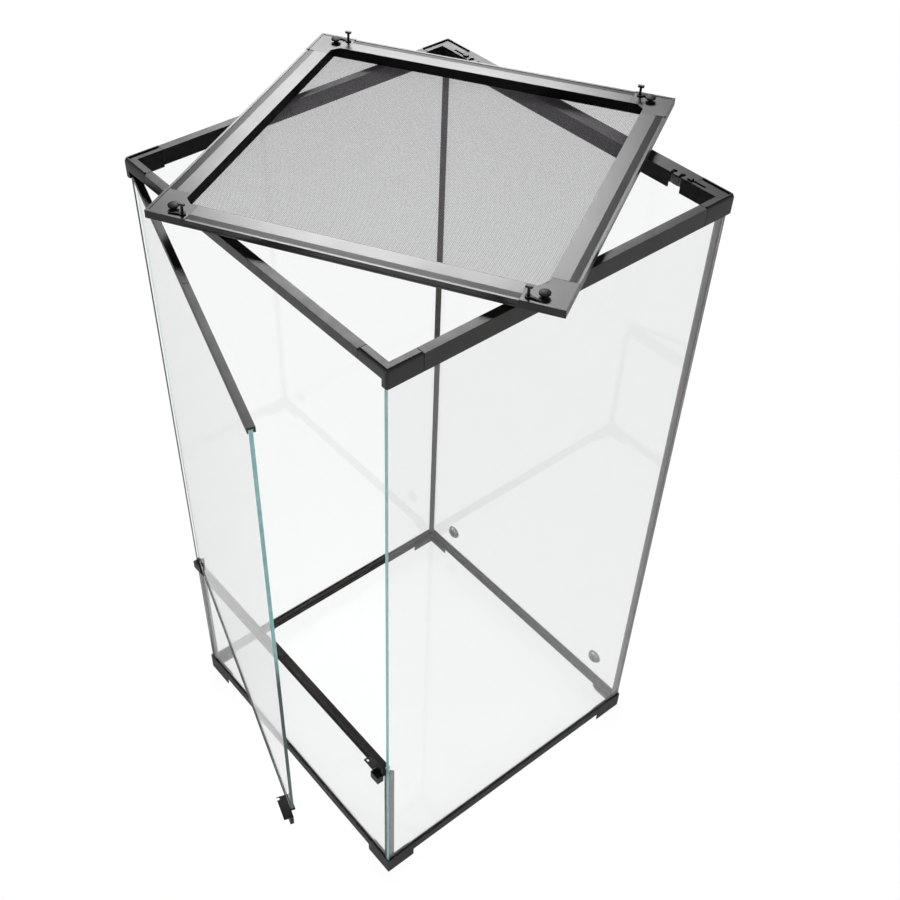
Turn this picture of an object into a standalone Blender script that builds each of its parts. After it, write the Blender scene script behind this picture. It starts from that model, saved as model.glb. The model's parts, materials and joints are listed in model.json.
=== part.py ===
"""Tall glass terrarium with a hinged front door and a lift-off screen lid.

Metres, +Z up. The origin is under the middle of the glass box, level with the undersides of the feet.
The door is on the front, at -Y, and its hinge is on the left, at -X. As it stands the door is ajar and
the lid lies askew on the top frame.
"""

from math import cos, pi, radians, sin

import bmesh
import bpy
from mathutils import Vector

# The glass box
CAGE_WIDTH = 0.450
CAGE_DEPTH = 0.450
CAGE_HEIGHT = 0.900
PANE = 0.005            # thickness of the fixed panes
WALL = 0.0015           # moulded wall outside the panes
FIT = 0.0003            # gap between pieces that touch
GLUE_WIDTH = 0.0017     # width of the silicone between two panes that meet
GLUE_FILLET = 0.0060    # leg of the silicone fillet inside a corner

# Base frame
FOOT_ARM = 0.045        # length of a foot along each side
BASE_BOTTOM = 0.0135    # underside of the rails between the feet
BASE_HEIGHT = 0.0150
BASE_WEB = 0.0020       # floor of the slot that the panes stand in
LEDGE_PLATE = 0.0017    # the floor pane's ledge, along the foot of the channel's inner wall
RAIL_LEDGE = 0.0022     # how far the ledge reaches in under the floor pane, on a rail
FOOT_LEDGE = 0.0060     # and on a foot

# Top frame
TOP_OUT = 0.0019        # how far the top frame stands out past the base
RIDGE_HEIGHT = 0.0016   # ridge round each top corner, over the top of the rails
CORNER_RADIUS = 0.0030
CORNER_STEPS = 4        # flats round the corner's arc
CORNER_ARM = 0.040      # length of a corner piece along each side
TOP_WEB = 0.0022        # plate over the panes' top edges
SKIRT = 0.0019          # thickness of the wall inside the panes
FRONT_DROP = 0.0120     # how far the walls hang down from the top of the rails
SIDE_DROP = 0.0208
SIDE_SKIRT_DROP = 0.0184
CORNER_SKIRT_DROP = 0.0206
PANE_COVER = 0.0060     # width of the flap that covers a side pane's front edge
BACK_RAIL_WIDTH = 0.0165
BACK_SKIRT = 0.0015

# Cable inlets, measured from the cage's side towards its middle
INLET_INSET = 0.0577    # centre of the notch nearer to the corner
INLET_PITCH = 0.0113
NOTCH_RADIUS = 0.0030
NOTCH_MOUTH = 0.0035
NOTCH_DEPTH = 0.0050    # centre of the notch's round end from the rail's inner edge
WINDOW_MARGIN = 0.0026  # skirt left out beyond the notches' centres
GRIP_INSET = 0.0470
GRIP_LENGTH = 0.0060
GRIP_STEM = 0.0022
GRIP_HEAD = 0.0046
GRIP_HEIGHT = 0.0016
SLIDER_TRAVEL = 0.0170
SLIDER_PLATE = 0.0020
SLIDER_WALL = 0.0014
SLIDER_DROP = 0.0129    # lower edge of the slider's wall under the top of the rails
SLIDER_MARGIN = 0.0045
SLOT_PLAY = 0.0003

# Ventilation strip over the low front pane
STRIP_BOTTOM = 0.2395
STRIP_HEIGHT = 0.0195
STRIP_OUT = 0.0018      # how far the strip stands out of the cage's front
STRIP_DEPTH = 0.0075
STRIP_SKIRT = 0.0033    # height of the skirt in front of the pane
STRIP_SHELL = 0.0015
STRIP_CAP = 0.0020
STRIP_LIP = 0.0030
STRIP_LIP_SHELL = 0.0012
VENT_PITCH = 0.0060
VENT_WIDTH = 0.0036
VENT_HEIGHT = 0.0065
VENT_RISE = 0.0050      # lower edge of the vents over the strip's underside
MESH_SHEET = 0.0006

# Door
DOOR_PANE = 0.0040
DOOR_AJAR = radians(17.2)
HINGE_INSET = 0.0047    # hinge axis from the side pane's inner face
HINGE_DEPTH = 0.0035    # hinge axis from the cage's front
DOOR_PLAY_SIDE = 0.0027
DOOR_PLAY_TOP = 0.0044
DOOR_PLAY_BOTTOM = 0.0025
DOOR_PANE_START = 0.0030
DOOR_PANE_OUT = 0.0025  # the pane's outer face from the hinge axis
HEADER_HALF = 0.0040    # half the width of the rail on the door's top edge
HEADER_HEIGHT = 0.0065
HEADER_WEB = 0.0022
HEADER_SEAM = 0.2090
TRIM_WALL = 0.0010
TRIM_HEIGHT = 0.0030
PIVOT_BACK = 0.0022     # how far the pivot shoes reach behind the hinge axis
PIVOT_LENGTH = 0.0120
PIVOT_RADIUS = 0.0015
PIVOT_PLAY = 0.0003
PIVOT_TOP_LENGTH = 0.0105
PIVOT_BOTTOM_LENGTH = 0.0037

# Hinge bracket and lock
BRACKET_LENGTH = 0.0176
BRACKET_OUT = 0.0042    # how far the bracket stands out of the strip's front
BRACKET_PLATE = 0.0018
BRACKET_DROP = 0.0130
CATCH_LENGTH = 0.0243
CATCH_BACK = 0.0034
CATCH_TAB_LENGTH = 0.0160
CATCH_TAB_OUT = 0.0117
CATCH_TAB_PLATE = 0.0020
CATCH_BLOCK_LENGTH = 0.0145
CATCH_BLOCK_OUT = 0.0112
CATCH_BLOCK_HEIGHT = 0.0125
CATCH_BLOCK_PAST = 0.0027
CATCH_DROP = 0.0045     # the catch hangs below the strip
LOCK_HOLE_RADIUS = 0.00225
LOCK_HOLE_INSET = 0.0213    # from the side pane's inner face
LOCK_HOLE_OUT = 0.0077      # from the strip's front
HASP_PLATE = 0.0020
HASP_LENGTH = 0.0210
HASP_REACH = 0.0145
HASP_END = 0.0012
HASP_HOOK_LENGTH = 0.0080
HASP_HOOK_DROP = 0.0135
HASP_HOOK_NEAR = 0.0025
HASP_HOOK_FAR = 0.0075
HASP_SIDE_PLAY = 0.0005

# Screen lid
LID_PLAY = 0.0070       # lid to ridge when it is in place
LID_BACK_PLAY = 0.0030
LID_SHIFT = (-0.0192, 0.0195)
LID_TURN = radians(29.23)
LID_BAND = 0.0280
LID_HEIGHT = 0.0137
LID_RIM_WIDTH = 0.0030
LID_RIM_RISE = 0.0005
LID_SHELL = 0.0015
LID_SIDE = 0.0087       # height of the lid's outer side
LID_CORNER_ARM = 0.0450
LID_GUSSET = 0.0090
SCREEN_SHEET = 0.0010
SCREEN_LAP = 0.0030     # how far the screen reaches under the frame
SCREEN_OPENINGS = 12    # along each side, in place of the fine weave
SCREEN_BAR = 0.0016
PIN_SIDE_INSET = 0.0385
PIN_EDGE_INSET = 0.0085
PIN_RADIUS = 0.00145
PIN_PLAY = 0.00035
PIN_RISE = 0.0120       # top of the pin over the lid
PIN_HEAD_LENGTH = 0.0070
PIN_HEAD_WIDTH = 0.0032
PIN_HEAD_HEIGHT = 0.0024
PIN_TIP = 0.0020
PLUG_SIDE_INSET = 0.0250
PLUG_EDGE_INSET = 0.0148
PLUG_RADIUS = 0.00575
PLUG_STALK = 0.0026
PLUG_HEIGHT = 0.0050
PLUG_CROWN = 0.0034     # radius of the flat middle of the button's dome
PLUG_CROWN_FALL = 0.0002
PLUG_SHOULDER = 0.0010  # these three are measured down from the button's top
PLUG_RIM = 0.0024
PLUG_UNDERSIDE = 0.0028
STRAP_WIDTH = 0.0024
STRAP_SHEET = 0.0012
STRAP_EDGE_INSET = 0.0055
RING_RADIUS = 0.0034

# Plugs in the back pane
PORT_INSET = 0.0600     # plug's middle from the cage's side
PORT_Z = 0.065
PORT_RADIUS = 0.0085
PORT_FLANGE = 0.0110
PORT_FLANGE_SHEET = 0.0020
PORT_BORE = 0.0050
PORT_PAST = 0.0010

# Places that follow from the sizes
HALF_WIDTH = CAGE_WIDTH / 2
HALF_DEPTH = CAGE_DEPTH / 2
PANE_OUT = WALL + FIT                   # a pane's outer face, in from the cage's side
PANE_IN = PANE_OUT + PANE
SLOT_IN = PANE_IN + FIT
CHANNEL_IN = SLOT_IN + WALL              # inside of the base's channel
LEDGE_TOP = BASE_BOTTOM + LEDGE_PLATE
BASE_TOP = BASE_BOTTOM + BASE_HEIGHT
FLOOR_TOP = LEDGE_TOP + FIT + PANE
PANE_BOTTOM = BASE_BOTTOM + BASE_WEB + FIT
RAIL_TOP = CAGE_HEIGHT - RIDGE_HEIGHT
PANE_TOP = RAIL_TOP - TOP_WEB - FIT
TOP_RAIL_WIDTH = SLOT_IN + SKIRT
STRIP_TOP = STRIP_BOTTOM + STRIP_HEIGHT
STRIP_SEAT = STRIP_BOTTOM + STRIP_SKIRT
STRIP_FRONT = -HALF_DEPTH - STRIP_OUT
STRIP_BACK = STRIP_FRONT + STRIP_DEPTH
STRIP_END = HALF_WIDTH - SLOT_IN
HINGE_X = -HALF_WIDTH + PANE_IN + HINGE_INSET
HINGE_Y = -HALF_DEPTH + HINGE_DEPTH
DOOR_BOTTOM = STRIP_TOP + DOOR_PLAY_BOTTOM
DOOR_TOP = RAIL_TOP - FRONT_DROP - DOOR_PLAY_TOP
DOOR_END = HALF_WIDTH - PANE_IN - DOOR_PLAY_SIDE - HINGE_X
LID_X = CAGE_WIDTH - 2 * (WALL + LID_PLAY)
LID_Y = CAGE_DEPTH - WALL - LID_PLAY - BACK_RAIL_WIDTH - LID_BACK_PLAY
LID_FACE = LID_HEIGHT - LID_RIM_RISE    # top of the lid's frame inside its rim
SIDES = {"left": 0, "front": 90, "right": 180, "back": 270}

for leftover in list(bpy.data.objects):
    bpy.data.objects.remove(leftover, do_unlink=True)

cage = bpy.data.collections.new("terrarium")
bpy.context.scene.collection.children.link(cage)


def make_material(name, colour, roughness, metallic=0.0, transmission=0.0):
    """A plain finish for one kind of piece."""
    material = bpy.data.materials.new(name)
    material.use_nodes = True
    shader = material.node_tree.nodes["Principled BSDF"]
    shader.inputs["Base Color"].default_value = (*colour, 1.0)
    shader.inputs["Roughness"].default_value = roughness
    shader.inputs["Metallic"].default_value = metallic
    shader.inputs["Transmission Weight"].default_value = transmission
    return material


def link(name, mesh, location=(0, 0, 0)):
    """Put a mesh into the part's collection as an object."""
    piece = bpy.data.objects.new(name, mesh)
    piece.location = location
    cage.objects.link(piece)
    return piece


def box(name, x, y, z):
    """A block between two values along each axis.

    Its corners hold those values exactly, so that blocks which share a face join cleanly.
    """
    bm = bmesh.new()
    bmesh.ops.create_cube(bm, size=2.0)
    for vert in bm.verts:
        for axis, ends in enumerate((x, y, z)):
            vert.co[axis] = max(ends) if vert.co[axis] > 0 else min(ends)
    mesh = bpy.data.meshes.new(name)
    bm.to_mesh(mesh)
    bm.free()
    return link(name, mesh)


def rod(name, radius, centre, z, segments=24):
    """An upright cylinder over the point centre, between two heights."""
    bm = bmesh.new()
    bmesh.ops.create_cone(
        bm, cap_ends=True, segments=segments, radius1=radius, radius2=radius, depth=2.0
    )
    for vert in bm.verts:
        vert.co = (vert.co.x + centre[0], vert.co.y + centre[1], max(z) if vert.co.z > 0 else min(z))
    mesh = bpy.data.meshes.new(name)
    bm.to_mesh(mesh)
    bm.free()
    return link(name, mesh)


def to_mesh(piece):
    """Swap an object's curve or modifiers for the mesh that they make, with its caps welded."""
    graph = bpy.context.evaluated_depsgraph_get()
    mesh = bpy.data.meshes.new_from_object(piece.evaluated_get(graph))
    bm = bmesh.new()
    bm.from_mesh(mesh)
    bmesh.ops.remove_doubles(bm, verts=bm.verts, dist=1e-6)
    bmesh.ops.recalc_face_normals(bm, faces=bm.faces)
    bm.to_mesh(mesh)
    bm.free()
    result = link("result", mesh)
    result.matrix_world = piece.matrix_world.copy()
    name = piece.name
    bpy.data.objects.remove(piece)
    result.name = name
    return result


def prism(name, outline, length):
    """A flat outline in local X and Y, extruded along local Z about its middle."""
    curve = bpy.data.curves.new(name, "CURVE")
    curve.dimensions = "2D"
    curve.fill_mode = "BOTH"
    curve.extrude = length / 2
    spline = curve.splines.new("POLY")
    spline.points.add(len(outline) - 1)
    for point, (x, y) in zip(spline.points, outline):
        point.co = (x, y, 0, 1)
    spline.use_cyclic_u = True
    return to_mesh(link(name, curve))


def plan(name, outline, z):
    """A prism that stands upright between two heights."""
    piece = prism(name, outline, 2.0)
    for vertex in piece.data.vertices:
        vertex.co.z = max(z) if vertex.co.z > 0 else min(z)
    return piece


def turned(name, profile, steps=32):
    """A solid of revolution about Z; the profile runs from the top down its outer side."""
    bm = bmesh.new()
    verts = [bm.verts.new((radius, 0, z)) for radius, z in profile]
    for a, b in zip(verts, verts[1:]):
        bm.edges.new((a, b))
    mesh = bpy.data.meshes.new(name)
    bm.to_mesh(mesh)
    bm.free()
    piece = link(name, mesh)
    screw = piece.modifiers.new("Turn", "SCREW")
    screw.steps = screw.render_steps = steps
    screw.use_merge_vertices = True
    screw.merge_threshold = 1e-6
    return to_mesh(piece)


def combine(base, operation, tools):
    """Join the tools to the base, or cut them out of it, and clear them away."""
    bpy.context.view_layer.update()
    for tool in tools:
        boolean = base.modifiers.new(operation, "BOOLEAN")
        boolean.operation = operation
        boolean.object = tool
    result = to_mesh(base)
    for tool in tools:
        bpy.data.objects.remove(tool)
    return result


def join(base, *tools):
    return combine(base, "UNION", tools)


def cut(base, *tools):
    return combine(base, "DIFFERENCE", tools)


def centre_on(piece, point):
    """Move an object's own origin to a point, with its shape left in place."""
    shift = piece.location - Vector(point)
    for vertex in piece.data.vertices:
        vertex.co += shift
    piece.location = point
    return piece


def finish(piece, material, parent=None, rounded=False, origin=None):
    """Give a piece its material, origin and parent, and smooth its round faces."""
    if origin or not any(piece.rotation_euler):
        corners = [Vector(corner) for corner in piece.bound_box]
        centre_on(piece, origin or piece.location + (corners[0] + corners[6]) / 2)
    piece.data.materials.clear()
    piece.data.materials.append(material)
    if rounded:
        piece.data.shade_smooth()
        piece.data.set_sharp_from_angle(angle=radians(35))
    if parent:
        piece.parent = parent
    return piece


def pivot(name, location, turn=0.0):
    """An empty that carries the pieces of one moving body."""
    empty = bpy.data.objects.new(name, None)
    empty.empty_display_size = 0.03
    empty.location = location
    empty.rotation_euler.z = turn
    cage.objects.link(empty)
    return empty


def side_bar(name, side, outline, half_length, middle=0.0):
    """A moulding along one side of the cage; its outline is distance inwards and height."""
    bar = prism(name, outline, 2 * half_length)
    turn = radians(SIDES[side])
    bar.rotation_euler = (pi / 2, 0, turn)
    outwards = HALF_DEPTH if side in ("front", "back") else HALF_WIDTH
    bar.location = (
        -cos(turn) * outwards + sin(turn) * middle,
        -sin(turn) * outwards - cos(turn) * middle,
        0,
    )
    bpy.context.view_layer.update()
    return bar


def corner_box(name, sx, sy, inwards_x, inwards_y, z):
    """A block at one corner of the cage, by its distances in from the two outer sides."""
    return box(
        name,
        [sx * (HALF_WIDTH - d) for d in inwards_x],
        [sy * (HALF_DEPTH - d) for d in inwards_y],
        z,
    )


def corner_angle(name, sx, sy, arm, near, far, z):
    """An L of even width at one corner of the cage, between two distances in from the sides."""
    return join(
        corner_box(name, sx, sy, (near, far), (near, arm), z),
        corner_box("arm", sx, sy, (near, arm), (near, far), z),
    )


black_plastic = make_material("black_plastic", (0.035, 0.031, 0.029), 0.42)
strip_plastic = make_material("strip_plastic", (0.040, 0.030, 0.028), 0.50)
clear_glass = make_material("clear_glass", (0.86, 0.95, 0.94), 0.03, transmission=0.9)
silicone = make_material("silicone", (0.060, 0.056, 0.053), 0.50)
lid_enamel = make_material("lid_enamel", (0.050, 0.048, 0.047), 0.35, metallic=0.3)
woven_wire = make_material("woven_wire", (0.030, 0.030, 0.030), 0.60, metallic=0.4)
plug_rubber = make_material("plug_rubber", (0.110, 0.108, 0.105), 0.60)
strap_rubber = make_material("strap_rubber", (0.014, 0.013, 0.013), 0.55)

# Base frame: four feet and the rails between them. Each is a channel that the panes stand in, with a
# narrow ledge low on its inner wall for the floor pane.
for x_name, sx in (("left", -1), ("right", 1)):
    for y_name, sy in (("front", -1), ("back", 1)):
        foot = join(
            corner_angle(f"foot_{y_name}_{x_name}", sx, sy, FOOT_ARM, 0, WALL, (0, BASE_TOP)),
            corner_angle("web", sx, sy, FOOT_ARM, 0, CHANNEL_IN, (BASE_BOTTOM, BASE_BOTTOM + BASE_WEB)),
            corner_angle("inner", sx, sy, FOOT_ARM, SLOT_IN, CHANNEL_IN, (0, BASE_TOP)),
            corner_angle(
                "ledge", sx, sy, FOOT_ARM, SLOT_IN, CHANNEL_IN + FOOT_LEDGE, (BASE_BOTTOM, LEDGE_TOP)
            ),
        )
        finish(foot, black_plastic)

base_outline = [
    (0, BASE_BOTTOM),
    (CHANNEL_IN + RAIL_LEDGE, BASE_BOTTOM),
    (CHANNEL_IN + RAIL_LEDGE, LEDGE_TOP),
    (CHANNEL_IN, LEDGE_TOP),
    (CHANNEL_IN, BASE_TOP),
    (SLOT_IN, BASE_TOP),
    (SLOT_IN, BASE_BOTTOM + BASE_WEB),
    (WALL, BASE_BOTTOM + BASE_WEB),
    (WALL, BASE_TOP),
    (0, BASE_TOP),
]
for side in SIDES:
    run = HALF_WIDTH if side in ("front", "back") else HALF_DEPTH
    rail = side_bar(f"base_rail_{side}", side, base_outline, run - FOOT_ARM - FIT)
    finish(rail, black_plastic)

# Panes: the side panes run the whole depth, and the back and low front panes stand between them.
side_y = (-HALF_DEPTH + PANE_OUT, HALF_DEPTH - PANE_OUT)
for x_name, sx in (("left", -1), ("right", 1)):
    faces = (sx * (HALF_WIDTH - PANE_OUT), sx * (HALF_WIDTH - PANE_IN))
    finish(box(f"glass_{x_name}", faces, side_y, (PANE_BOTTOM, PANE_TOP)), clear_glass)

between = HALF_WIDTH - PANE_IN - GLUE_WIDTH - FIT
front_pane_top = STRIP_SEAT - FIT
low_pane = box(
    "glass_front_low",
    (-between, between),
    (-HALF_DEPTH + PANE_OUT, -HALF_DEPTH + PANE_IN),
    (PANE_BOTTOM, front_pane_top),
)
finish(low_pane, clear_glass)

back_pane = box(
    "glass_back",
    (-between, between),
    (HALF_DEPTH - PANE_OUT, HALF_DEPTH - PANE_IN),
    (PANE_BOTTOM, PANE_TOP),
)
ports = []
for sx in (-1, 1):
    port = rod("port", PORT_RADIUS, (0, 0), (-PANE, PANE), segments=32)
    port.location = (sx * (HALF_WIDTH - PORT_INSET), HALF_DEPTH - PANE_OUT - PANE / 2, PORT_Z)
    port.rotation_euler.x = pi / 2
    ports.append(port)
finish(cut(back_pane, *ports), clear_glass)

floor_x = HALF_WIDTH - CHANNEL_IN - FIT
floor_y = HALF_DEPTH - CHANNEL_IN - FIT
floor = box("glass_floor", (-floor_x, floor_x), (-floor_y, floor_y), (LEDGE_TOP + FIT, FLOOR_TOP))
finish(floor, clear_glass)

# Silicone: a bead fills the joint between two panes and makes a fillet inside the corner.
for x_name, sx in (("left", -1), ("right", 1)):
    for y_name, sy in (("front", -1), ("back", 1)):
        top = front_pane_top if sy < 0 else RAIL_TOP - CORNER_SKIRT_DROP - FIT
        joint = SLOT_IN + GLUE_WIDTH - FIT
        bead_outline = [
            (SLOT_IN, PANE_OUT),
            (joint, PANE_OUT),
            (joint, SLOT_IN),
            (SLOT_IN + GLUE_FILLET, SLOT_IN),
            (SLOT_IN, SLOT_IN + GLUE_FILLET),
        ]
        outline = [(sx * (HALF_WIDTH - a), sy * (HALF_DEPTH - b)) for a, b in bead_outline]
        bead = plan(f"silicone_{y_name}_{x_name}", outline, (BASE_TOP + FIT, top))
        finish(bead, silicone)

# Ventilation strip: two mouldings end to end over the low front pane, open behind, with a row of
# upright vents in the front wall and a woven sheet standing behind them.
shell = STRIP_FRONT + STRIP_SHELL
front_in = -HALF_DEPTH + PANE_OUT - FIT
lip_in = STRIP_BACK - STRIP_LIP_SHELL
lip_bottom = STRIP_TOP - STRIP_CAP - STRIP_LIP
strip_outline = [
    (STRIP_FRONT, STRIP_BOTTOM),
    (front_in, STRIP_BOTTOM),
    (front_in, STRIP_SEAT),
    (STRIP_BACK, STRIP_SEAT),
    (STRIP_BACK, STRIP_SEAT + STRIP_SHELL),
    (shell, STRIP_SEAT + STRIP_SHELL),
    (shell, STRIP_TOP - STRIP_CAP),
    (lip_in, STRIP_TOP - STRIP_CAP),
    (lip_in, lip_bottom),
    (STRIP_BACK, lip_bottom),
    (STRIP_BACK, STRIP_TOP),
    (STRIP_FRONT, STRIP_TOP),
]
hinge_point = (HINGE_X, HINGE_Y)
vents_each = int((STRIP_END - VENT_PITCH) / VENT_PITCH)
for x_name, sx in (("left", -1), ("right", 1)):
    strip = prism(f"vent_strip_{x_name}", strip_outline, STRIP_END - FIT)
    strip.rotation_euler = (pi / 2, 0, pi / 2)
    strip.location.x = sx * (STRIP_END + FIT) / 2
    bpy.context.view_layer.update()
    vents = []
    for i in range(vents_each):
        middle = sx * (i + 1) * VENT_PITCH
        vents.append(
            box(
                "vent",
                (middle - VENT_WIDTH / 2, middle + VENT_WIDTH / 2),
                (STRIP_FRONT - STRIP_SHELL, shell + MESH_SHEET),
                (STRIP_BOTTOM + VENT_RISE, STRIP_BOTTOM + VENT_RISE + VENT_HEIGHT),
            )
        )
    if sx < 0:
        hole = (STRIP_TOP - 2 * STRIP_CAP, STRIP_TOP + STRIP_CAP)
        vents.append(rod("pivot_hole", PIVOT_RADIUS + PIVOT_PLAY, hinge_point, hole))
    finish(cut(strip, *vents), strip_plastic)

vent_mesh = box(
    "vent_mesh",
    (-STRIP_END + STRIP_SHELL, STRIP_END - STRIP_SHELL),
    (shell + FIT, shell + FIT + MESH_SHEET),
    (STRIP_SEAT + STRIP_SHELL + FIT, STRIP_TOP - STRIP_CAP - FIT),
)
finish(vent_mesh, woven_wire)

# Lower hinge bracket: an angle over the strip's left end, with the hole that the door's pivot turns in.
bracket_front = STRIP_FRONT - BRACKET_OUT
bracket_x = (-STRIP_END + FIT, -STRIP_END + FIT + BRACKET_LENGTH)
bracket_top = STRIP_TOP + FIT + BRACKET_PLATE
bracket = join(
    box("hinge_bracket", bracket_x, (bracket_front, STRIP_BACK), (STRIP_TOP + FIT, bracket_top)),
    box(
        "face",
        bracket_x,
        (bracket_front, STRIP_FRONT - FIT),
        (bracket_top - BRACKET_DROP, bracket_top),
    ),
)
bracket_hole = (STRIP_TOP - BRACKET_PLATE, bracket_top + BRACKET_PLATE)
bracket = cut(bracket, rod("pivot_hole", PIVOT_RADIUS + PIVOT_PLAY, hinge_point, bracket_hole))
finish(bracket, black_plastic)

# Lock catch on the strip's right end: a tab with a padlock hole, level with the strip's top, and a
# block below it that the door's hook comes down beside.
catch_seat = STRIP_FRONT - FIT
catch_end = STRIP_END - FIT
lock_hole = (HALF_WIDTH - PANE_IN - LOCK_HOLE_INSET, STRIP_FRONT - LOCK_HOLE_OUT)
catch_bottom = STRIP_BOTTOM - CATCH_DROP
catch = join(
    box(
        "lock_catch",
        (catch_end - CATCH_LENGTH, catch_end),
        (catch_seat - CATCH_BACK, catch_seat),
        (catch_bottom, STRIP_TOP),
    ),
    box(
        "tab",
        (catch_end - CATCH_LENGTH - FIT, catch_end - CATCH_LENGTH + CATCH_TAB_LENGTH),
        (STRIP_FRONT - CATCH_TAB_OUT, catch_seat - CATCH_BACK / 2),
        (STRIP_TOP - CATCH_TAB_PLATE, STRIP_TOP),
    ),
    box(
        "block",
        (catch_end + CATCH_BLOCK_PAST - CATCH_BLOCK_LENGTH, catch_end + CATCH_BLOCK_PAST),
        (STRIP_FRONT - CATCH_BLOCK_OUT, catch_seat - CATCH_BACK / 2),
        (catch_bottom - FIT, catch_bottom + CATCH_BLOCK_HEIGHT),
    ),
)
catch = cut(
    catch,
    rod("hole", LOCK_HOLE_RADIUS, lock_hole, (STRIP_TOP - 2 * CATCH_TAB_PLATE, STRIP_TOP + CATCH_TAB_PLATE)),
)
finish(catch, black_plastic)

# Cable inlets: two notches each side of the back rail, a slot for the slider's grip, and a window in
# the skirt below the notches. The cutters are made again for each piece that they cut.
shelf_edge = HALF_DEPTH - BACK_RAIL_WIDTH
slot_y = shelf_edge + BACK_SKIRT + FIT + (BACK_RAIL_WIDTH - TOP_RAIL_WIDTH - BACK_SKIRT) / 2


def notch_cutters(side, reach, z):
    """The two keyhole notches at one end, open towards the front as far as y = reach."""
    cutters = []
    for i in range(2):
        x = side * (HALF_WIDTH - INLET_INSET - i * INLET_PITCH)
        y = shelf_edge + NOTCH_DEPTH
        cutters.append(rod("notch", NOTCH_RADIUS, (x, y), z))
        cutters.append(box("mouth", (x - NOTCH_MOUTH / 2, x + NOTCH_MOUTH / 2), (reach, y), z))
    return cutters


def slot_cutter(side):
    """The slot along the rail's top that the slider's grip runs in."""
    near = side * (HALF_WIDTH - GRIP_INSET - GRIP_LENGTH / 2 - SLOT_PLAY)
    far = side * (HALF_WIDTH - GRIP_INSET + GRIP_LENGTH / 2 + SLIDER_TRAVEL + SLOT_PLAY)
    half = GRIP_STEM / 2 + SLOT_PLAY
    return box("slot", (near, far), (slot_y - half, slot_y + half), (RAIL_TOP - 2 * TOP_WEB, CAGE_HEIGHT))


# Top frame: a rail along each side, hooked over the panes, with a corner piece at each corner.
def rail_outline(width, outer_drop, skirt_drop):
    web = RAIL_TOP - TOP_WEB
    return [
        (-TOP_OUT, RAIL_TOP - outer_drop),
        (WALL, RAIL_TOP - outer_drop),
        (WALL, web),
        (SLOT_IN, web),
        (SLOT_IN, RAIL_TOP - skirt_drop),
        (width, RAIL_TOP - skirt_drop),
        (width, RAIL_TOP),
        (-TOP_OUT, RAIL_TOP),
    ]


def back_outline():
    web = RAIL_TOP - TOP_WEB
    inner = BACK_RAIL_WIDTH - BACK_SKIRT
    return [
        (-TOP_OUT, RAIL_TOP - SIDE_DROP),
        (WALL, RAIL_TOP - SIDE_DROP),
        (WALL, web),
        (inner, web),
        (inner, RAIL_TOP - SIDE_SKIRT_DROP),
        (BACK_RAIL_WIDTH, RAIL_TOP - SIDE_SKIRT_DROP),
        (BACK_RAIL_WIDTH, RAIL_TOP),
        (-TOP_OUT, RAIL_TOP),
    ]


rail_half_x = HALF_WIDTH - CORNER_ARM - FIT
rail_half_y = HALF_DEPTH - CORNER_ARM - FIT
front_rail = rail_outline(TOP_RAIL_WIDTH, FRONT_DROP, FRONT_DROP)
side_rail = rail_outline(TOP_RAIL_WIDTH, SIDE_DROP, SIDE_SKIRT_DROP)
finish(side_bar("top_rail_front", "front", front_rail, rail_half_x), black_plastic)
finish(side_bar("top_rail_left", "left", side_rail, rail_half_y), black_plastic)
finish(side_bar("top_rail_right", "right", side_rail, rail_half_y), black_plastic)

back_rail = side_bar("top_rail_back", "back", back_outline(), rail_half_x)
through = (RAIL_TOP - 2 * TOP_WEB, RAIL_TOP + TOP_WEB)
inlet_cutters = []
for sx in (-1, 1):
    inlet_cutters += notch_cutters(sx, shelf_edge - NOTCH_RADIUS, through)
    inlet_cutters.append(slot_cutter(sx))
    window = [sx * (HALF_WIDTH - INLET_INSET + WINDOW_MARGIN)]
    window.append(sx * (HALF_WIDTH - INLET_INSET - INLET_PITCH - WINDOW_MARGIN))
    inlet_cutters.append(
        box(
            "window",
            window,
            (shelf_edge - BACK_SKIRT, shelf_edge + BACK_SKIRT + FIT / 2),
            (RAIL_TOP - 2 * SIDE_SKIRT_DROP, RAIL_TOP - TOP_WEB - FIT),
        )
    )
finish(cut(back_rail, *inlet_cutters), black_plastic)


def rounded_angle(sx, sy, arm_x, inner, out, radius):
    """Outline of an L round a top corner, with its outer corner rounded."""
    angles = [pi / 2 * i / CORNER_STEPS for i in range(CORNER_STEPS + 1)]
    points = [(inner, inner), (arm_x, inner), (arm_x, out)]
    points += [(out + radius * (1 - sin(a)), out + radius * (1 - cos(a))) for a in angles]
    points += [(out, CORNER_ARM), (inner, CORNER_ARM)]
    return [(sx * (HALF_WIDTH - a), sy * (HALF_DEPTH - b)) for a, b in points]


def tapered(name, levels):
    """A solid through outlines of as many points each, from the lowest to the highest."""
    bm = bmesh.new()
    rings = [[bm.verts.new((x, y, z)) for x, y in outline] for outline, z in levels]
    bm.faces.new(rings[0])
    bm.faces.new(rings[-1])
    for low, high in zip(rings, rings[1:]):
        for i in range(len(low)):
            bm.faces.new((low[i - 1], low[i], high[i], high[i - 1]))
    bmesh.ops.recalc_face_normals(bm, faces=bm.faces)
    mesh = bpy.data.meshes.new(name)
    bm.to_mesh(mesh)
    bm.free()
    return link(name, mesh)


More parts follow.
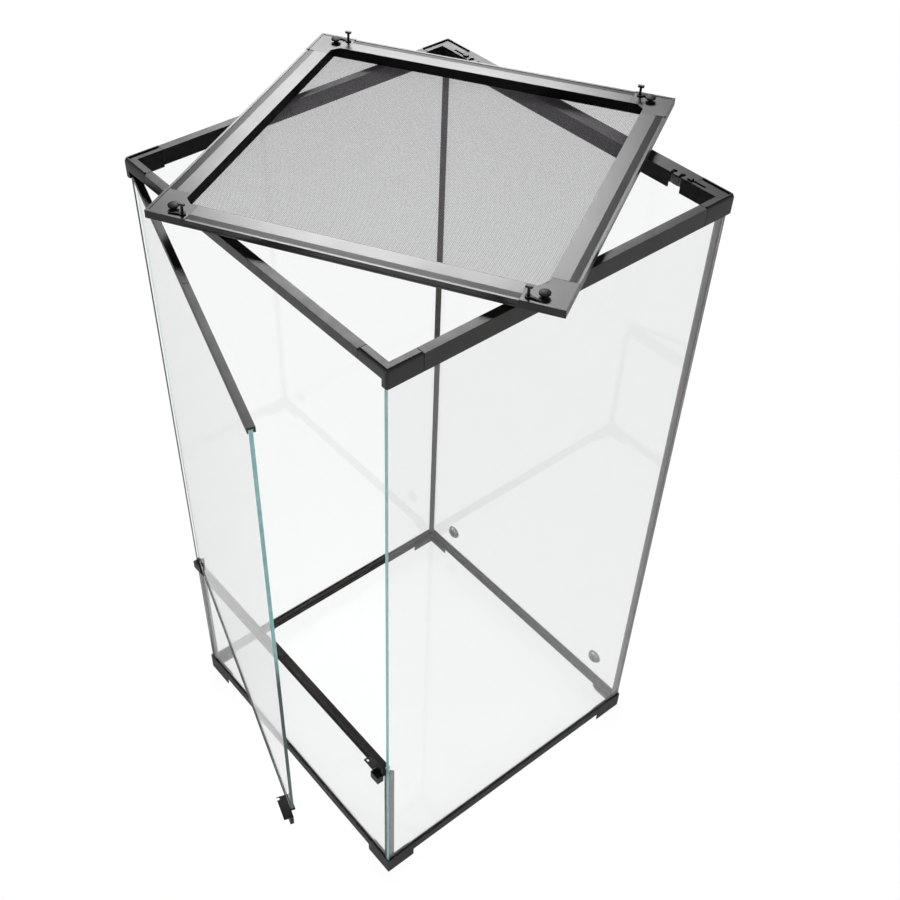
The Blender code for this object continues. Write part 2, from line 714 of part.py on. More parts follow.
# A corner's wall slopes in at its top to the ridge, which stands in line with the base's sides.
for x_name, sx in (("left", -1), ("right", 1)):
    for y_name, sy in (("front", -1), ("back", 1)):
        is_front = sy < 0
        across = TOP_RAIL_WIDTH if is_front else BACK_RAIL_WIDTH
        wall_drop = FRONT_DROP if is_front else SIDE_DROP
        skirt_drop = FRONT_DROP if is_front else CORNER_SKIRT_DROP
        web = (RAIL_TOP - TOP_WEB, RAIL_TOP)
        outer = rounded_angle(sx, sy, CORNER_ARM, WALL, -TOP_OUT, CORNER_RADIUS)
        ridge = rounded_angle(sx, sy, CORNER_ARM, WALL, 0, CORNER_RADIUS - TOP_OUT)
        wall = [(outer, RAIL_TOP - wall_drop), (outer, RAIL_TOP - TOP_WEB), (ridge, CAGE_HEIGHT)]
        arms = [
            corner_box("web", sx, sy, (0, CORNER_ARM), (0, across), web),
            tapered("wall", wall),
            corner_box(
                "skirt",
                sx,
                sy,
                (SLOT_IN, TOP_RAIL_WIDTH),
                (TOP_RAIL_WIDTH if is_front else across - SKIRT, CORNER_ARM),
                (RAIL_TOP - CORNER_SKIRT_DROP, RAIL_TOP - TOP_WEB / 2),
            ),
        ]
        if is_front:
            arms.append(
                corner_box(
                    "skirt",
                    sx,
                    sy,
                    (SLOT_IN, CORNER_ARM),
                    (SLOT_IN, across),
                    (RAIL_TOP - skirt_drop, RAIL_TOP - TOP_WEB / 2),
                )
            )
            cover = rounded_angle(sx, sy, PANE_COVER, WALL, -TOP_OUT, CORNER_RADIUS)
            arms.append(plan("cover", cover, (RAIL_TOP - SIDE_DROP, RAIL_TOP - TOP_WEB)))
        else:
            inner = (BACK_RAIL_WIDTH - BACK_SKIRT, BACK_RAIL_WIDTH)
            height = (RAIL_TOP - SIDE_SKIRT_DROP, RAIL_TOP - TOP_WEB / 2)
            arms.append(corner_box("skirt", sx, sy, (SLOT_IN, CORNER_ARM), inner, height))
        if is_front and sx < 0:
            arms.append(
                corner_box(
                    "boss",
                    sx,
                    sy,
                    (SLOT_IN + FIT, PANE_IN + 2 * HINGE_INSET),
                    (WALL / 2, SLOT_IN + SKIRT / 2),
                    (RAIL_TOP - FRONT_DROP, RAIL_TOP - TOP_WEB / 2),
                )
            )
        corner = join(
            corner_box(
                f"top_corner_{y_name}_{x_name}", sx, sy, (0, TOP_RAIL_WIDTH), (0, CORNER_ARM), web
            ),
            *arms,
        )
        cutters = []
        if is_front and sx < 0:
            depth = (RAIL_TOP - 2 * FRONT_DROP, DOOR_TOP + PIVOT_TOP_LENGTH + FIT)
            cutters.append(rod("pivot_hole", PIVOT_RADIUS + PIVOT_PLAY, hinge_point, depth))
        if not is_front:
            cutters.append(slot_cutter(sx))
        corner = cut(corner, *cutters)
        finish(corner, black_plastic, rounded=True)

# Inlet sliders: each is a plate under the back rail with a wall behind the skirt's window and a grip
# that stands up through the slot. As they stand their notches are in line with the rail's.
for x_name, sx in (("left", -1), ("right", 1)):
    grip_x = sx * (HALF_WIDTH - GRIP_INSET)
    near = sx * (HALF_WIDTH - GRIP_INSET + GRIP_LENGTH / 2 + SLIDER_MARGIN)
    far = sx * (HALF_WIDTH - INLET_INSET - INLET_PITCH - NOTCH_RADIUS - SLIDER_TRAVEL)
    top = RAIL_TOP - TOP_WEB - FIT
    front = shelf_edge + BACK_SKIRT + FIT
    back = HALF_DEPTH - SLOT_IN - FIT
    slider = join(
        box(f"inlet_slider_{x_name}", (near, far), (front, back), (top - SLIDER_PLATE, top)),
        box("wall", (near, far), (front, front + SLIDER_WALL), (RAIL_TOP - SLIDER_DROP, top)),
        box(
            "stem",
            (grip_x - GRIP_LENGTH / 2, grip_x + GRIP_LENGTH / 2),
            (slot_y - GRIP_STEM / 2, slot_y + GRIP_STEM / 2),
            (top - SLIDER_PLATE / 2, RAIL_TOP + FIT + GRIP_HEIGHT / 2),
        ),
        box(
            "head",
            (grip_x - GRIP_LENGTH / 2, grip_x + GRIP_LENGTH / 2),
            (slot_y - GRIP_HEAD / 2, slot_y + GRIP_HEAD / 2),
            (RAIL_TOP + FIT, RAIL_TOP + FIT + GRIP_HEIGHT),
        ),
    )
    notches = notch_cutters(sx, front - NOTCH_RADIUS, (RAIL_TOP - 2 * SLIDER_DROP, RAIL_TOP))
    slider = cut(slider, *notches)
    finish(slider, black_plastic, origin=(grip_x, slot_y, RAIL_TOP))

# Rubber plugs in the back pane: a cup with a flange outside the glass.
for x_name, sx in (("left", -1), ("right", 1)):
    stem = PORT_RADIUS - FIT
    outside = PORT_FLANGE_SHEET + FIT
    inside = -PANE - PORT_PAST
    plug = turned(
        f"port_plug_{x_name}",
        [
            (0, outside),
            (PORT_FLANGE, outside),
            (PORT_FLANGE, FIT),
            (stem, FIT),
            (stem, inside),
            (PORT_BORE, inside),
            (PORT_BORE, inside + PANE),
            (0, inside + PANE),
        ],
    )
    plug.location = (sx * (HALF_WIDTH - PORT_INSET), HALF_DEPTH - PANE_OUT, PORT_Z)
    plug.rotation_euler.x = -pi / 2
    finish(plug, plug_rubber, rounded=True)

# Door: its pieces are placed from the hinge axis, X along the closed door and Y into the cage.
door = pivot("door_hinge", (HINGE_X, HINGE_Y, 0), -DOOR_AJAR)
glass_y = (-DOOR_PANE_OUT, -DOOR_PANE_OUT + DOOR_PANE)
header_bottom = DOOR_TOP - HEADER_HEIGHT
pane_z = (DOOR_BOTTOM + TRIM_WALL + FIT, DOOR_TOP - HEADER_WEB - FIT)
finish(box("door_glass", (DOOR_PANE_START, DOOR_END), glass_y, pane_z), clear_glass, door)

groove = (glass_y[0] - FIT, glass_y[1] + FIT)
header_outline = [
    (-HEADER_HALF, header_bottom),
    (groove[0], header_bottom),
    (groove[0], DOOR_TOP - HEADER_WEB),
    (groove[1], DOOR_TOP - HEADER_WEB),
    (groove[1], header_bottom),
    (HEADER_HALF, header_bottom),
    (HEADER_HALF, DOOR_TOP),
    (-HEADER_HALF, DOOR_TOP),
]
trim_top = DOOR_BOTTOM + TRIM_HEIGHT
trim_side = (groove[0] - TRIM_WALL, groove[1] + TRIM_WALL)
trim_outline = [
    (trim_side[0], DOOR_BOTTOM),
    (trim_side[1], DOOR_BOTTOM),
    (trim_side[1], trim_top),
    (groove[1], trim_top),
    (groove[1], DOOR_BOTTOM + TRIM_WALL),
    (groove[0], DOOR_BOTTOM + TRIM_WALL),
    (groove[0], trim_top),
    (trim_side[0], trim_top),
]


def door_bar(name, outline, start, end):
    """A moulding along the door's edge; its outline is distance into the cage and height."""
    bar = prism(name, outline, end - start)
    bar.rotation_euler = (pi / 2, 0, pi / 2)
    bar.location.x = (start + end) / 2
    bpy.context.view_layer.update()
    return bar


pivot_end = PIVOT_LENGTH - PIVOT_BACK
header_hinge = door_bar("door_header_hinge", header_outline, pivot_end + FIT, HEADER_SEAM)
finish(header_hinge, black_plastic, door)
header_free = door_bar("door_header_free", header_outline, HEADER_SEAM + FIT, DOOR_END + FIT)
finish(header_free, black_plastic, door)

hasp_start = DOOR_END - HASP_LENGTH
trim = door_bar("door_trim", trim_outline, pivot_end + FIT, hasp_start - FIT)
finish(trim, black_plastic, door)

# Pivot shoes: the door's top and bottom corners on the hinge side, each with its pin on the axis.
shoe_x = (-PIVOT_BACK, pivot_end)
slot_x = (DOOR_PANE_START - FIT, pivot_end + PIVOT_LENGTH)
top_shoe = join(
    cut(
        box("door_pivot_top", shoe_x, (-HEADER_HALF, HEADER_HALF), (header_bottom, DOOR_TOP)),
        box("slot", slot_x, groove, (header_bottom - HEADER_WEB, DOOR_TOP - HEADER_WEB)),
    ),
    rod("pin", PIVOT_RADIUS, (0, 0), (DOOR_TOP - HEADER_WEB, DOOR_TOP + PIVOT_TOP_LENGTH)),
)
finish(top_shoe, black_plastic, door, rounded=True)
bottom_shoe = join(
    cut(
        box("door_pivot_bottom", shoe_x, trim_side, (DOOR_BOTTOM, trim_top)),
        box("slot", slot_x, groove, (DOOR_BOTTOM + TRIM_WALL, trim_top + TRIM_WALL)),
    ),
    rod("pin", PIVOT_RADIUS, (0, 0), (DOOR_BOTTOM - PIVOT_BOTTOM_LENGTH, DOOR_BOTTOM + TRIM_WALL)),
)
finish(bottom_shoe, black_plastic, door, rounded=True)

# Hasp on the free bottom corner: a shoe on the glass, a plate with the padlock's hole and a hook that
# hangs down past the end of the strip.
hasp_plate = (DOOR_BOTTOM + TRIM_WALL / 2, DOOR_BOTTOM + TRIM_WALL / 2 + HASP_PLATE)
hook_x = STRIP_END - HINGE_X + HASP_SIDE_PLAY
hasp_slot = (hasp_start - HASP_END, DOOR_END + FIT)
hasp = cut(
    join(
        box("door_hasp", (hasp_start, DOOR_END + FIT + HASP_END), trim_side, (DOOR_BOTTOM, trim_top)),
        box("plate", (hasp_start, hook_x + FIT), (-HASP_REACH, trim_side[0] + TRIM_WALL / 2), hasp_plate),
        box(
            "hook_plate",
            (hook_x - HASP_SIDE_PLAY, hook_x + HASP_HOOK_LENGTH),
            (-HASP_REACH, -HASP_HOOK_NEAR),
            hasp_plate,
        ),
        box(
            "hook",
            (hook_x, hook_x + HASP_HOOK_LENGTH),
            (-HASP_HOOK_FAR, -HASP_HOOK_NEAR),
            (DOOR_BOTTOM - HASP_HOOK_DROP, hasp_plate[1]),
        ),
    ),
    box("slot", hasp_slot, groove, (DOOR_BOTTOM + TRIM_WALL, trim_top + TRIM_WALL)),
    rod(
        "hole",
        LOCK_HOLE_RADIUS,
        (lock_hole[0] - HINGE_X, lock_hole[1] - HINGE_Y),
        (DOOR_BOTTOM - HASP_PLATE, DOOR_BOTTOM + 2 * HASP_PLATE),
    ),
)
finish(hasp, black_plastic, door)

# Screen lid: an enamelled frame of four hollow bars and four corner pieces round a woven screen. Its
# pieces are placed from the lid's middle, at the height that it rests at.
lid = pivot("lid_seat", (*LID_SHIFT, RAIL_TOP + FIT), LID_TURN)
half_x = LID_X / 2
half_y = LID_Y / 2
screen_top = SCREEN_SHEET + FIT
band_in = LID_BAND - LID_SHELL
side_bottom = LID_HEIGHT - LID_SIDE
lid_outline = [
    (0, side_bottom),
    (LID_SHELL, side_bottom),
    (LID_SHELL, LID_FACE - LID_SHELL),
    (band_in, LID_FACE - LID_SHELL),
    (band_in, screen_top),
    (LID_BAND, screen_top),
    (LID_BAND, LID_FACE),
    (LID_RIM_WIDTH, LID_FACE),
    (LID_RIM_WIDTH, LID_HEIGHT),
    (0, LID_HEIGHT),
]
for side, turn in SIDES.items():
    along = half_x if side in ("front", "back") else half_y
    across = half_y if side in ("front", "back") else half_x
    bar = prism(f"lid_bar_{side}", lid_outline, 2 * (along - LID_CORNER_ARM - FIT))
    bar.rotation_euler = (pi / 2, 0, radians(turn))
    bar.location = (-cos(radians(turn)) * across, -sin(radians(turn)) * across, 0)
    finish(bar, lid_enamel, lid)


def grille(name, grid_x, grid_y, z):
    """A sheet with a plain grid of square openings, its border as wide as its lap under the frame."""
    lines = []
    for half in (grid_x, grid_y):
        pitch = 2 * (half - SCREEN_LAP + SCREEN_BAR / 2) / SCREEN_OPENINGS
        bars = [(i - SCREEN_OPENINGS / 2) * pitch for i in range(1, SCREEN_OPENINGS)]
        inner = half - SCREEN_LAP
        edges = [value for bar in bars for value in (bar - SCREEN_BAR / 2, bar + SCREEN_BAR / 2)]
        lines.append([-half, -inner, *edges, inner, half])
    xs, ys = lines
    bm = bmesh.new()
    verts = [[bm.verts.new((x, y, min(z))) for y in ys] for x in xs]
    cells = [
        bm.faces.new((verts[i][j], verts[i + 1][j], verts[i + 1][j + 1], verts[i][j + 1]))
        for i in range(len(xs) - 1)
        for j in range(len(ys) - 1)
        if i % 2 == 0 or j % 2 == 0
    ]
    raised = bmesh.ops.extrude_face_region(bm, geom=cells)["geom"]
    for item in raised:
        if isinstance(item, bmesh.types.BMVert):
            item.co.z = max(z)
    bmesh.ops.delete(bm, geom=[vert for vert in bm.verts if not vert.link_faces], context="VERTS")
    bmesh.ops.recalc_face_normals(bm, faces=bm.faces)
    mesh = bpy.data.meshes.new(name)
    bm.to_mesh(mesh)
    bm.free()
    return link(name, mesh)


screen_x = half_x - LID_BAND + SCREEN_LAP
screen_y = half_y - LID_BAND + SCREEN_LAP
finish(grille("lid_screen", screen_x, screen_y, (0, SCREEN_SHEET)), woven_wire, lid)


def lid_box(name, sx, sy, inwards_x, inwards_y, z):
    """A block at one corner of the lid, by its distances in from the lid's edges."""
    return box(
        name,
        [sx * (half_x - d) for d in inwards_x],
        [sy * (half_y - d) for d in inwards_y],
        z,
    )


def lid_angle(name, sx, sy, near, far, z):
    """An L of even width at one corner of the lid."""
    return join(
        lid_box(name, sx, sy, (near, far), (near, LID_CORNER_ARM), z),
        lid_box("arm", sx, sy, (near, LID_CORNER_ARM), (near, far), z),
    )


for x_name, sx in (("left", -1), ("right", 1)):
    for y_name, sy in (("front", -1), ("back", 1)):
        place = f"{y_name}_{x_name}"
        pin_at = (sx * (half_x - PIN_SIDE_INSET), sy * (half_y - PIN_EDGE_INSET))
        plug_at = (sx * (half_x - PLUG_SIDE_INSET), sy * (half_y - PLUG_EDGE_INSET))
        root = LID_BAND - LID_SHELL / 2
        gusset = [(root, root), (LID_BAND + LID_GUSSET, root), (root, LID_BAND + LID_GUSSET)]
        lid_corner = join(
            lid_angle(f"lid_corner_{place}", sx, sy, 0, LID_BAND, (LID_FACE - LID_SHELL, LID_FACE)),
            lid_angle("side", sx, sy, 0, LID_SHELL, (side_bottom, LID_FACE)),
            lid_angle("rim", sx, sy, 0, LID_RIM_WIDTH, (LID_FACE - LID_SHELL / 2, LID_HEIGHT)),
            lid_angle("inner", sx, sy, band_in, LID_BAND, (screen_top, LID_FACE)),
            plan(
                "gusset",
                [(sx * (half_x - a), sy * (half_y - b)) for a, b in gusset],
                (LID_FACE - LID_SHELL, LID_FACE),
            ),
        )
        bore = rod("bore", PIN_RADIUS + PIN_PLAY, pin_at, (LID_FACE - 2 * LID_SHELL, LID_HEIGHT + LID_SHELL))
        finish(cut(lid_corner, bore), black_plastic, lid)

        # The plug: a button on a stalk, and a flat strap from its foot to a ring round the pin.
        foot_z = LID_FACE + FIT
        button_z = foot_z + PLUG_HEIGHT
        plug = turned(
            f"lid_plug_{place}",
            [
                (0, button_z),
                (PLUG_CROWN, button_z - PLUG_CROWN_FALL),
                (PLUG_RADIUS, button_z - PLUG_SHOULDER),
                (PLUG_RADIUS, button_z - PLUG_RIM),
                (PLUG_STALK, button_z - PLUG_UNDERSIDE),
                (PLUG_STALK, foot_z),
                (0, foot_z),
            ],
            steps=24,
        )
        plug.location = (*plug_at, 0)
        half_strap = STRAP_WIDTH / 2
        strap_y = sy * (half_y - STRAP_EDGE_INSET)
        strap_z = (foot_z, foot_z + STRAP_SHEET)
        reach = Vector((pin_at[0], pin_at[1])) - Vector((plug_at[0], strap_y))
        away = Vector((-reach.y, reach.x)).normalized() * half_strap
        near_end = Vector((plug_at[0], strap_y))
        far_end = Vector(pin_at)
        link_outline = [near_end + away, near_end - away, far_end - away, far_end + away]
        plug = join(
            plug,
            box("strap", (plug_at[0] - half_strap, plug_at[0] + half_strap), (plug_at[1], strap_y), strap_z),
            rod("bend", half_strap, (plug_at[0], strap_y), strap_z, segments=16),
            plan("strap", [tuple(point) for point in link_outline], strap_z),
            rod("ring", RING_RADIUS, pin_at, strap_z),
        )
        plug = cut(plug, rod("bore", PIN_RADIUS + PIN_PLAY, pin_at, (foot_z - PIN_RISE, foot_z + PIN_RISE)))
        finish(plug, strap_rubber, lid, rounded=True)

        # The pin: a T that stands raised, and is pushed down through the lid to hold it in place.
        head_top = LID_HEIGHT + PIN_RISE
        pin = join(
            rod(f"lid_pin_{place}", PIN_RADIUS, pin_at, (PIN_TIP, head_top - PIN_HEAD_HEIGHT / 2)),
            box(
                "head",
                (pin_at[0] - PIN_HEAD_LENGTH / 2, pin_at[0] + PIN_HEAD_LENGTH / 2),
                (pin_at[1] - PIN_HEAD_WIDTH / 2, pin_at[1] + PIN_HEAD_WIDTH / 2),
                (head_top - PIN_HEAD_HEIGHT, head_top),
            ),
        )
        finish(pin, black_plastic, lid, rounded=True, origin=(*pin_at, LID_HEIGHT))
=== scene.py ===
"""The looks of a tall glass terrarium, piece by piece, around its CAD frame.

Metres, +Z up, the door on the front at -Y and hinged on the left at -X. The sections follow the terrarium
as it is put together, from the base frame up to the screen lid, and then the room it stands in.
"""

import json
from math import cos, pi, radians, sin

import bpy
from mathutils import Matrix, Vector

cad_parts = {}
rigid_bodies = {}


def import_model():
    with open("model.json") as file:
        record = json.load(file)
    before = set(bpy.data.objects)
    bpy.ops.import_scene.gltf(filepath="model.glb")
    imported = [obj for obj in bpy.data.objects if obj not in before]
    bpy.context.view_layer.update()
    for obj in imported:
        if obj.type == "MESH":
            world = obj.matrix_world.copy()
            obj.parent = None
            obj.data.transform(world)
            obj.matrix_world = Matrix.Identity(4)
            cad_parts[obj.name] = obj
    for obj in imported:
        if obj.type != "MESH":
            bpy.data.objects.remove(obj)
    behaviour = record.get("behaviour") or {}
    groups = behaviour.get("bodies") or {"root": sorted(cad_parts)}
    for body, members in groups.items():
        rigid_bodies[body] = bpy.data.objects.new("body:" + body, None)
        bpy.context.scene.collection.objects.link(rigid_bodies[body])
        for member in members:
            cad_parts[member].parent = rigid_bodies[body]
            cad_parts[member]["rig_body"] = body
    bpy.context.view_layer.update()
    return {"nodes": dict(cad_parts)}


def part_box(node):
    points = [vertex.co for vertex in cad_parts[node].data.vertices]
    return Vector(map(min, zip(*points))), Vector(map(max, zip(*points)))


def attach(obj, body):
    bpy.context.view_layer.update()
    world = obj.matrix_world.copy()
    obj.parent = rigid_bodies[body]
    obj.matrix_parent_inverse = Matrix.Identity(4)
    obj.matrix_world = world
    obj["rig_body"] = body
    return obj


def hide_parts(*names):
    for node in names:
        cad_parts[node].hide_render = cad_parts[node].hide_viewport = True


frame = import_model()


# BASE FRAME
# Four corner feet and four rails in black ABS, injection moulded. Each is a channel that the panes are
# bedded in, and the rails butt against the feet with a fine seam.
nodes = frame["nodes"]
SIDES = ("back", "front", "left", "right")
CORNERS = [f"{end}_{side}" for end in ("back", "front") for side in ("left", "right")]


def linear(colour):
    """A colour written as sRGB hex, as linear values with alpha."""
    parts = [int(colour[i : i + 2], 16) / 255 for i in (1, 3, 5)]
    return (*[p / 12.92 if p <= 0.04045 else ((p + 0.055) / 1.055) ** 2.4 for p in parts], 1.0)


def set_sockets(node, sockets):
    """Set constant values on a node's sockets, each named with _ for a space."""
    for socket, value in sockets.items():
        node.inputs[socket.replace("_", " ")].default_value = value


def feed(node, **sources):
    """Link what drives a node's sockets, each named with _ for a space."""
    for socket, source in sources.items():
        node.id_data.links.new(source, node.inputs[socket.replace("_", " ")])


def start_material(name, **sockets):
    """A material with its Principled shader's constant sockets set."""
    material = bpy.data.materials.new(name)
    material.use_nodes = True
    shader = material.node_tree.nodes["Principled BSDF"]
    set_sockets(shader, sockets)
    return material, shader


def copied_material(material, name, tones=(), dullness=(), **sockets):
    """A copy of a material with other colours, another range of roughness or other constant sockets."""
    copy = material.copy()
    copy.name = name
    found = {node.type: node for node in copy.node_tree.nodes}
    if tones:
        for element, colour in zip(found["VALTORGB"].color_ramp.elements, tones):
            element.color = linear(colour)
    if dullness:
        set_sockets(found["MAP_RANGE"], dict(zip(("To Min", "To Max"), dullness)))
    set_sockets(found["BSDF_PRINCIPLED"], sockets)
    return copy


def add_node(material, kind, settings, links):
    """Add a node, with the values of its settings and sockets and what feeds its sockets."""
    tree = material.node_tree
    node = tree.nodes.new("ShaderNode" + kind)
    for key, value in settings.items():
        if isinstance(key, int) or key in node.inputs:
            node.inputs[key].default_value = value
        elif key == "ramp":
            for element, (place, colour) in zip(node.color_ramp.elements, value):
                element.position = place
                element.color = linear(colour)
        else:
            setattr(node, key, value)
    for key, socket in links.items():
        tree.links.new(socket, node.inputs[key])
    return node


def choose(piece):
    """Make one piece the only one that an operator acts on."""
    bpy.ops.object.select_all(action="DESELECT")
    piece.select_set(True)
    bpy.context.view_layer.objects.active = piece


def apply_modifier(piece, kind, **settings):
    """Add a modifier to a piece and apply it."""
    choose(piece)
    modifier = piece.modifiers.new(kind.title(), kind)
    for key, value in settings.items():
        setattr(modifier, key, value)
    bpy.ops.object.modifier_apply(modifier=modifier.name)


def merged_copy(node, name):
    """A piece that starts with the CAD node's form, its faces merged to plain flat ones."""
    piece = bpy.data.objects.new(name, nodes[node].data.copy())
    bpy.context.scene.collection.objects.link(piece)
    choose(piece)
    bpy.ops.mesh.customdata_custom_splitnormals_clear()
    bpy.ops.object.mode_set(mode="EDIT")
    bpy.ops.mesh.select_all(action="SELECT")
    bpy.ops.mesh.remove_doubles(threshold=0.00001)
    bpy.ops.mesh.dissolve_limited(angle_limit=radians(1))
    bpy.ops.object.mode_set(mode="OBJECT")
    return piece


def round_edges(piece, edge, smooth=40):
    """Round a piece's edges, as they leave the mould, and keep its flat faces flat in the light.

    Faces that meet at less than the angle smooth, in degrees, are shaded as one.
    """
    apply_modifier(piece, "BEVEL", width=edge, segments=2, limit_method="ANGLE", angle_limit=radians(30))
    bpy.ops.object.shade_smooth_by_angle(angle=radians(smooth))
    apply_modifier(piece, "WEIGHTED_NORMAL", keep_sharp=True)


def put_on(piece, *materials):
    """Give a piece its finishes, in the order of its material slots."""
    piece.data.materials.clear()
    for material in materials:
        piece.data.materials.append(material)


def stand_for(piece, node):
    """Let a piece stand for a CAD node, and move with the node's body."""
    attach(piece, nodes[node]["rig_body"])
    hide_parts(node)


def moulded_from(node, material, edge):
    """A moulding with the CAD node's form and its edges rounded."""
    piece = merged_copy(node, f"{node}_moulded")
    round_edges(piece, edge)
    put_on(piece, material)
    stand_for(piece, node)
    return piece


# ABS with a spark-eroded grain: a satin black that turns brown in strong light, clouded a little, with
# duller and shinier patches from handling.
ABS_CLOUD = 0.0455
ABS_PATCH = 0.0167
ABS_GRAIN = 0.0008    # coarser than the real grain, which would not show
moulded_abs, shader = start_material("moulded_abs_black", IOR=1.53)
place = add_node(moulded_abs, "TexCoord", {}, {}).outputs["Object"]
cloud = add_node(moulded_abs, "TexNoise", {"Scale": 1 / ABS_CLOUD, "Detail": 3.0}, {"Vector": place})
tone = add_node(
    moulded_abs, "ValToRGB", {"ramp": [(0.3, "#1d1a19"), (0.7, "#252120")]}, {"Fac": cloud.outputs["Fac"]}
)
smear = add_node(moulded_abs, "TexNoise", {"Scale": 1 / ABS_PATCH, "Detail": 5.0}, {"Vector": place})
dull = add_node(moulded_abs, "MapRange", {"To Min": 0.34, "To Max": 0.5}, {"Value": smear.outputs["Fac"]})
grain = add_node(moulded_abs, "TexNoise", {"Scale": 1 / ABS_GRAIN, "Detail": 2.0}, {"Vector": place})
relief = add_node(
    moulded_abs, "Bump", {"Strength": 0.25, "Distance": 0.00006}, {"Height": grain.outputs["Fac"]}
)
feed(
    shader,
    Base_Color=tone.outputs["Color"],
    Roughness=dull.outputs["Result"],
    Normal=relief.outputs["Normal"],
)

# Low down the same plastic looks nearer to black, because it mirrors less of the room.
base_abs = copied_material(moulded_abs, "moulded_abs_base_black", Specular_IOR_Level=0.15)
for side in SIDES:
    moulded_from(f"base_rail_{side}", base_abs, edge=0.0004)
for corner in CORNERS:
    moulded_from(f"foot_{corner}", base_abs, edge=0.0005)


# FIXED PANES
# Clear float glass, 5 mm thick, cut to size and ground along its edges. Four panes stand in the base
# frame's channel, one lies on the ledge inside it, and silicone holds them together.
ARRIS = 0.0005    # the ground bevel along each of a pane's edges
CLEAR, GROUND, GLUED = range(3)    # a pane's material slots

# The wide faces are nearly invisible, and lamps shine straight through them. The index is set under the
# real 1.52, because the photograph shows hardly any mirror images in the panes.
float_glass, shader = start_material(
    "float_glass_clear",
    Base_Color=linear("#f6f7f7"),
    Roughness=0.0,
    IOR=1.36,
    Transmission_Weight=1.0,
)
shader_out = shader.outputs["BSDF"]
lamp_ray = add_node(float_glass, "LightPath", {}, {}).outputs["Is Shadow Ray"]
clear = add_node(float_glass, "BsdfTransparent", {"Color": linear("#f9fafa")}, {})
glass_mix = add_node(float_glass, "MixShader", {}, {0: lamp_ray, 1: shader_out, 2: clear.outputs[0]})
feed(float_glass.node_tree.nodes["Material Output"], Surface=glass_mix.outputs[0])

# A free ground edge gathers the light that runs along inside the pane, and glows blue-green: the glow is
# painted, an emission on the edge.
GROUND_STREAK = 0.0111
ground_edge, shader = start_material(
    "ground_glass_edge",
    Roughness=0.35,
    IOR=1.52,
    Transmission_Weight=0.35,
    Emission_Color=linear("#9fd8d8"),
    Emission_Strength=0.22,
)
place = add_node(ground_edge, "TexCoord", {}, {}).outputs["Object"]
streak = add_node(ground_edge, "TexNoise", {"Scale": 1 / GROUND_STREAK, "Detail": 4.0}, {"Vector": place})
tone = add_node(
    ground_edge, "ValToRGB", {"ramp": [(0.3, "#8fd6d8"), (0.7, "#bdeeed")]}, {"Fac": streak.outputs["Fac"]}
)
feed(shader, Base_Color=tone.outputs["Color"])

# An edge against silicone or inside a channel is grey, because its light goes into what it touches; the
# grey is painted shade.
glued_edge = copied_material(
    ground_edge, "ground_glass_edge_glued", tones=("#5d6060", "#868b8b"), Emission_Strength=0.0
)


def pane_from(node):
    """A pane cut to the CAD node's size, with its edges ground."""
    piece = merged_copy(node, f"{node}_pane")
    apply_modifier(piece, "BEVEL", width=ARRIS, segments=1, limit_method="ANGLE", angle_limit=radians(50))
    put_on(piece, float_glass, ground_edge, glued_edge)
    faces = piece.data.polygons
    through = max(faces, key=lambda face: face.area).normal.copy()
    for face in faces:
        if abs(face.normal.dot(through)) < 0.99:
            in_front = face.normal.y < -0.5
            upright = abs(face.normal.z) < 0.3
            free = node == "door_glass" or (node == "glass_right" and in_front)
            face.material_index = GROUND if free and upright else GLUED
            # The left pane's front edge draws no line in the photograph.
            if node == "glass_left" and in_front:
                face.material_index = CLEAR
    stand_for(piece, node)
    return piece


fixed_panes = {
    node: pane_from(node)
    for node in ("glass_floor", "glass_back", "glass_left", "glass_right", "glass_front_low")
}


# SILICONE
# A bead of dark grey sealant in each upright corner, gunned into the joint and wiped to a slanting
# fillet. The floor pane is bedded in the same sealant all round.
SEALANT_CLOUD = 0.0167
SEALANT_RIPPLE = 0.00333

# Wiped by hand, its face is a little uneven and shines softly, in streaks along the joint.
silicone, shader = start_material("wiped_silicone_grey", IOR=1.41)
place = add_node(silicone, "TexCoord", {}, {}).outputs["Object"]
drawn_out = add_node(silicone, "Mapping", {"Scale": (1.0, 1.0, 0.15)}, {"Vector": place}).outputs[0]
cloud = add_node(silicone, "TexNoise", {"Scale": 1 / SEALANT_CLOUD, "Detail": 3.0}, {"Vector": drawn_out})
tone = add_node(
    silicone, "ValToRGB", {"ramp": [(0.3, "#3d3836"), (0.7, "#4d4745")]}, {"Fac": cloud.outputs["Fac"]}
)
dull = add_node(silicone, "MapRange", {"To Min": 0.3, "To Max": 0.5}, {"Value": cloud.outputs["Fac"]})
wiped = add_node(silicone, "TexNoise", {"Scale": 1 / SEALANT_RIPPLE, "Detail": 2.0}, {"Vector": drawn_out})
relief = add_node(silicone, "Bump", {"Strength": 0.3, "Distance": 0.0002}, {"Height": wiped.outputs["Fac"]})
feed(
    shader,
    Base_Color=tone.outputs["Color"],
    Roughness=dull.outputs["Result"],
    Normal=relief.outputs["Normal"],
)
for corner in CORNERS:
    moulded_from(f"silicone_{corner}", silicone, edge=0.0003)
fixed_panes["glass_floor"].data.materials[GLUED] = silicone


# VENTILATION STRIP
# Two brown-black mouldings end to end on the low front pane, with a row of upright vents in the front
# wall. Woven wire stands behind the vents and keeps insects in.
VENT_PITCH = 0.0014    # from wire to wire
VENT_WIRE = 0.00014    # a wire's radius

# The strip's ABS is matt, and shows hardly any of the room.
strip_abs = copied_material(
    moulded_abs,
    "moulded_abs_brown_black",
    tones=("#150f0e", "#1d1514"),
    dullness=(0.5, 0.65),
    Specular_IOR_Level=0.12,
)
for side in ("left", "right"):
    moulded_from(f"vent_strip_{side}", strip_abs, edge=0.0003)


